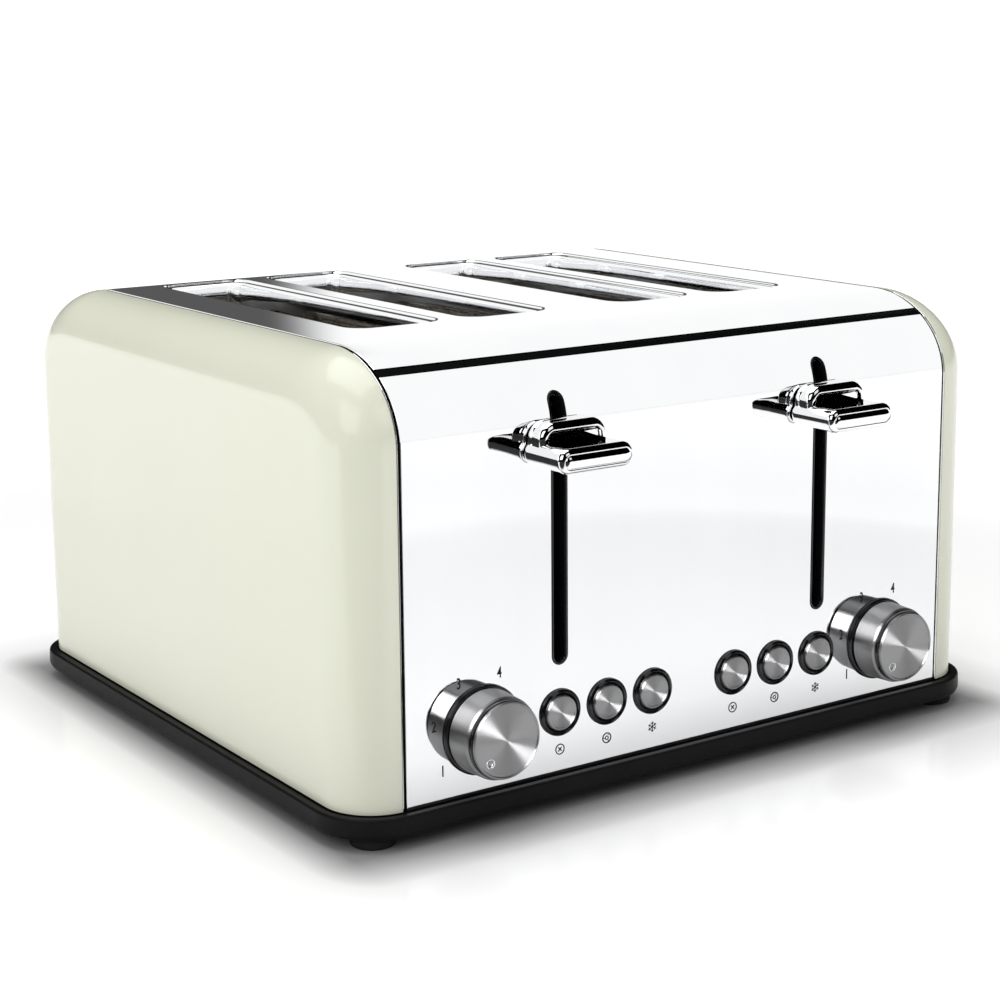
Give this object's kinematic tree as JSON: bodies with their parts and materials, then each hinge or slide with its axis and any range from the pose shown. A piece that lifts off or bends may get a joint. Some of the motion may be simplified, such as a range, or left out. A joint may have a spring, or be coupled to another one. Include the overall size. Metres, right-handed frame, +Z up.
{
  "type": "pop up toaster",
  "caption": "Wide pop-up toaster with long bread slots, two chromed levers, round dials, push buttons, enamelled sides and a mirror-steel middle.",
  "frame": {"origin": "on the surface that the feet stand on, under the middle of the whole toaster's box", "axes": "+X to the right of someone facing the levers, +Y to the back, +Z up"},
  "size_m": [0.3104, 0.307, 0.174],
  "materials": {
    "cream_enamel": "smooth cream enamel, semi-gloss",
    "polished_steel": "mirror-polished stainless steel",
    "chrome": "mirror chrome plating",
    "spun_steel": "turned metal with circular grain",
    "black_plastic": "satin black moulded plastic",
    "gloss_black": "gloss black plastic",
    "rubber": "matt black rubber",
    "zinc_sheet": "zinc-plated steel sheet",
    "steel_wire": "bright steel wire",
    "mica_board": "mica board with resistance ribbon",
    "circuit_board": "green circuit board",
    "copper_coil": "enamelled copper winding"
  },
  "bodies": {
    "housing": {"base_tray": "black_plastic", "front_left_foot": "rubber", "front_right_foot": "rubber", "back_left_foot": "rubber", "back_right_foot": "rubber", "left_side_panel": "cream_enamel", "right_side_panel": "cream_enamel", "top_cover": "polished_steel", "front_panel": "polished_steel", "back_panel": "polished_steel", "front_seam_trim": "gloss_black", "back_seam_trim": "gloss_black", "front_chassis_plate": "zinc_sheet", "back_chassis_plate": "zinc_sheet", "control_board": "circuit_board", "cord_gland": "black_plastic", "left_slot_liner": "gloss_black", "left_guide_rod": "steel_wire", "left_return_spring": "steel_wire", "left_electromagnet": "copper_coil", "left_dial_collar": "gloss_black", "left_button_bezels": "gloss_black", "left_inner_heater": "mica_board", "left_middle_heater": "mica_board", "left_outer_heater": "mica_board", "right_slot_liner": "gloss_black", "right_guide_rod": "steel_wire", "right_return_spring": "steel_wire", "right_electromagnet": "copper_coil", "right_dial_collar": "gloss_black", "right_button_bezels": "gloss_black", "right_inner_heater": "mica_board", "right_middle_heater": "mica_board", "right_outer_heater": "mica_board"},
    "left_lever": {"left_lever_handle": "chrome", "left_lever_carriage": "zinc_sheet", "left_inner_rack": "steel_wire", "left_outer_rack": "steel_wire"},
    "left_west_guards": {"left_inner_west_guard": "steel_wire", "left_outer_west_guard": "steel_wire"},
    "left_east_guards": {"left_inner_east_guard": "steel_wire", "left_outer_east_guard": "steel_wire"},
    "left_dial": {"left_dial": "spun_steel"},
    "left_crumb_tray": {"left_crumb_tray": "zinc_sheet"},
    "left_cancel_button": {"left_cancel_button": "spun_steel"},
    "left_bagel_button": {"left_bagel_button": "spun_steel"},
    "left_defrost_button": {"left_defrost_button": "spun_steel"},
    "right_lever": {"right_lever_handle": "chrome", "right_lever_carriage": "zinc_sheet", "right_inner_rack": "steel_wire", "right_outer_rack": "steel_wire"},
    "right_west_guards": {"right_inner_west_guard": "steel_wire", "right_outer_west_guard": "steel_wire"},
    "right_east_guards": {"right_inner_east_guard": "steel_wire", "right_outer_east_guard": "steel_wire"},
    "right_dial": {"right_dial": "spun_steel"},
    "right_crumb_tray": {"right_crumb_tray": "zinc_sheet"},
    "right_cancel_button": {"right_cancel_button": "spun_steel"},
    "right_bagel_button": {"right_bagel_button": "spun_steel"},
    "right_defrost_button": {"right_defrost_button": "spun_steel"}
  },
  "joints": [
    {"name": "left_lever_slide", "type": "slide", "parent": "housing", "child": "left_lever", "axis": [0, 0, 1], "range_m": [-0.07, 0.008], "stiffness_N_per_m": 120, "springref_m": 0.015, "deforming": ["left_return_spring"]},
    {"name": "left_west_guard_slide", "type": "slide", "parent": "housing", "child": "left_west_guards", "axis": [1, 0, 0], "range_m": [-0.0008, 0.006]},
    {"name": "left_east_guard_slide", "type": "slide", "parent": "housing", "child": "left_east_guards", "axis": [-1, 0, 0], "range_m": [-0.0008, 0.006]},
    {"name": "left_dial_turn", "type": "hinge", "parent": "housing", "child": "left_dial", "pos_m": [-0.0973, -0.129, 0.0365], "axis": [0, 1, 0], "range_deg": [0, 270]},
    {"name": "left_crumb_tray_slide", "type": "slide", "parent": "housing", "child": "left_crumb_tray", "axis": [0, 1, 0], "range_m": [0, 0.2]},
    {"name": "left_cancel_button_press", "type": "slide", "parent": "housing", "child": "left_cancel_button", "axis": [0, 1, 0], "range_m": [0, 0.0015], "stiffness_N_per_m": 400, "springref_m": -0.0015},
    {"name": "left_bagel_button_press", "type": "slide", "parent": "housing", "child": "left_bagel_button", "axis": [0, 1, 0], "range_m": [0, 0.0015], "stiffness_N_per_m": 400, "springref_m": -0.0015},
    {"name": "left_defrost_button_press", "type": "slide", "parent": "housing", "child": "left_defrost_button", "axis": [0, 1, 0], "range_m": [0, 0.0015], "stiffness_N_per_m": 400, "springref_m": -0.0015},
    {"name": "right_lever_slide", "type": "slide", "parent": "housing", "child": "right_lever", "axis": [0, 0, 1], "range_m": [-0.07, 0.008], "stiffness_N_per_m": 120, "springref_m": 0.015, "deforming": ["right_return_spring"]},
    {"name": "right_west_guard_slide", "type": "slide", "parent": "housing", "child": "right_west_guards", "axis": [1, 0, 0], "range_m": [-0.0008, 0.006]},
    {"name": "right_east_guard_slide", "type": "slide", "parent": "housing", "child": "right_east_guards", "axis": [-1, 0, 0], "range_m": [-0.0008, 0.006]},
    {"name": "right_dial_turn", "type": "hinge", "parent": "housing", "child": "right_dial", "pos_m": [0.0973, -0.129, 0.0365], "axis": [0, 1, 0], "range_deg": [0, 270]},
    {"name": "right_crumb_tray_slide", "type": "slide", "parent": "housing", "child": "right_crumb_tray", "axis": [0, 1, 0], "range_m": [0, 0.2]},
    {"name": "right_cancel_button_press", "type": "slide", "parent": "housing", "child": "right_cancel_button", "axis": [0, 1, 0], "range_m": [0, 0.0015], "stiffness_N_per_m": 400, "springref_m": -0.0015},
    {"name": "right_bagel_button_press", "type": "slide", "parent": "housing", "child": "right_bagel_button", "axis": [0, 1, 0], "range_m": [0, 0.0015], "stiffness_N_per_m": 400, "springref_m": -0.0015},
    {"name": "right_defrost_button_press", "type": "slide", "parent": "housing", "child": "right_defrost_button", "axis": [0, 1, 0], "range_m": [0, 0.0015], "stiffness_N_per_m": 400, "springref_m": -0.0015}
  ],
  "couplings": [
    {"joint": "left_west_guard_slide", "follows": "left_lever_slide", "ratio": -0.083},
    {"joint": "left_east_guard_slide", "follows": "left_lever_slide", "ratio": -0.083},
    {"joint": "right_west_guard_slide", "follows": "right_lever_slide", "ratio": -0.083},
    {"joint": "right_east_guard_slide", "follows": "right_lever_slide", "ratio": -0.083}
  ]
}
